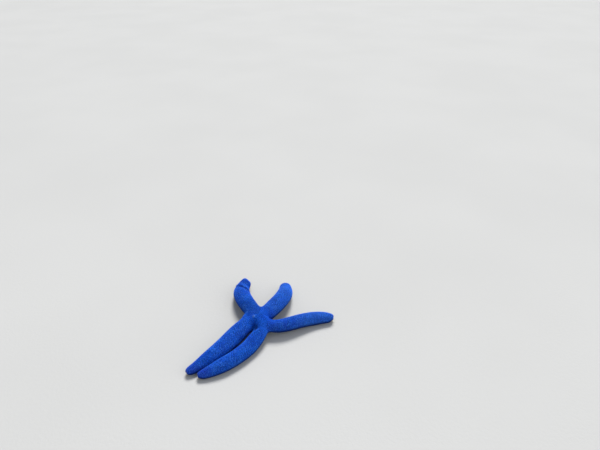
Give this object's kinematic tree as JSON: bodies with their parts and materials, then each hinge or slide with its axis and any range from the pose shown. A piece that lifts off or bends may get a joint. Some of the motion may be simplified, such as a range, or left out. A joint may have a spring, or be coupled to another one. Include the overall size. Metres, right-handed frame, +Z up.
{
  "type": "blue starfish",
  "caption": "Life-size blue starfish at rest: small raised disc, five round arms, two reaching back in an arch, furrows with tube feet underneath, and a sieve plate.",
  "frame": {"origin": "on the floor, under the middle of the animal's bounding box", "axes": "+Z up from the floor, +Y away from the viewer, +X to the viewer's right and along the longest side of the box"},
  "size_m": [0.1928, 0.1748, 0.0265],
  "materials": {
    "disc": "matte granular skin, vivid blue on top and pale blue grey underneath",
    "arm": "matte granular skin, vivid blue on top, darker low on the sides, pale blue grey underneath",
    "tip": "matte granular skin, slightly darker blue, with a small smooth plate at the end",
    "sieve": "chalky pale blue plate with fine winding grooves"
  },
  "bodies": {
    "root": {"disc": "disc", "sieve_plate": "sieve", "arm_right_base": "arm", "arm_right_middle": "arm", "arm_right_outer": "arm", "arm_right_tip": "tip", "arm_back_right_base": "arm", "arm_back_right_middle": "arm", "arm_back_right_outer": "arm", "arm_back_right_tip": "tip", "arm_back_left_base": "arm", "arm_back_left_middle": "arm", "arm_back_left_outer": "arm", "arm_back_left_tip": "tip", "arm_left_base": "arm", "arm_left_middle": "arm", "arm_left_outer": "arm", "arm_left_tip": "tip", "arm_front_base": "arm", "arm_front_middle": "arm", "arm_front_outer": "arm", "arm_front_tip": "tip"}
  },
  "joints": []
}
